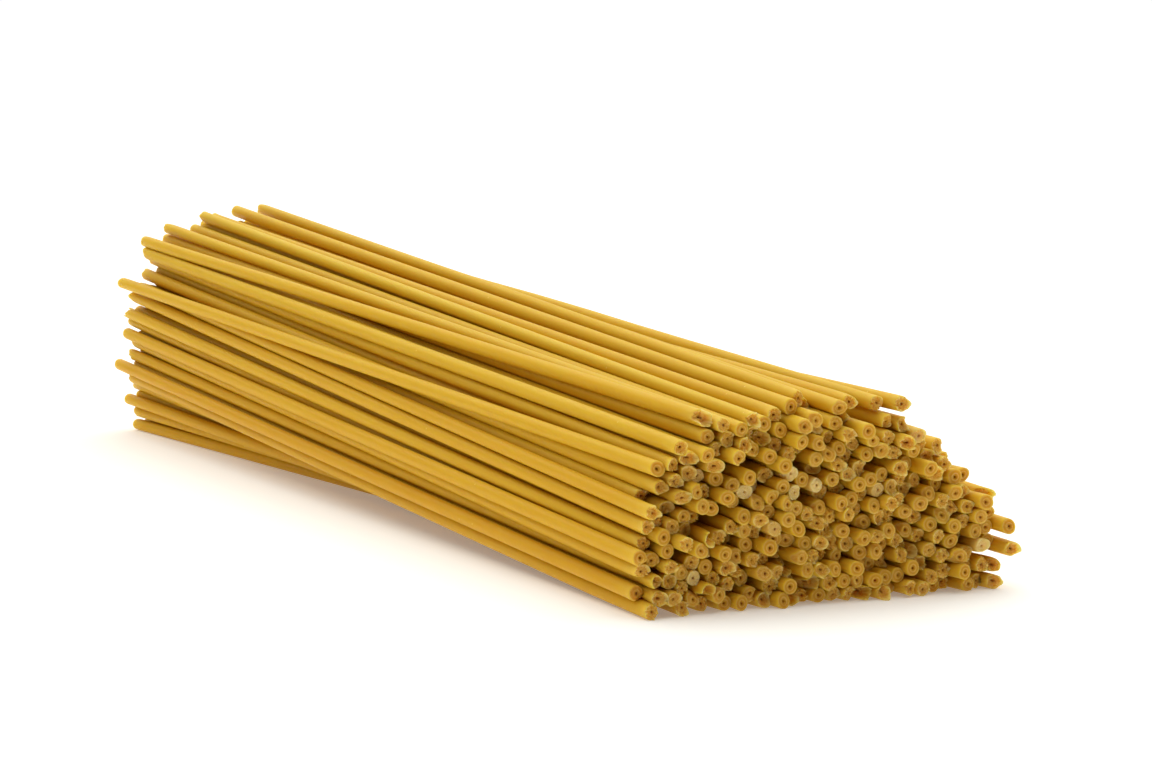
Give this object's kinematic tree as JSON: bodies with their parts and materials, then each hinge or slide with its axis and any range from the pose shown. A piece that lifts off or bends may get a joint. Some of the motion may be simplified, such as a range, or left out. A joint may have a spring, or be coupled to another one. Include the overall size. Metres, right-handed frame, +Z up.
{
  "type": "bundle of dry bucatini",
  "caption": "Loose bundle of long dry hollow pasta lying flat, packed into a low dome at one end and fanned out taller at the other.",
  "frame": {"origin": "on the surface that the bundle lies on, below the centre of its box", "axes": "noodles along Y, the packed end at -Y and the fanned end at +Y, +Z up"},
  "size_m": [0.0735, 0.267, 0.0507],
  "materials": {
    "dry_pasta": "satin, slightly translucent golden yellow semolina pasta with paler broken ends"
  },
  "bodies": {
    "root": {"bucatini_bundle": "dry_pasta"}
  },
  "joints": []
}
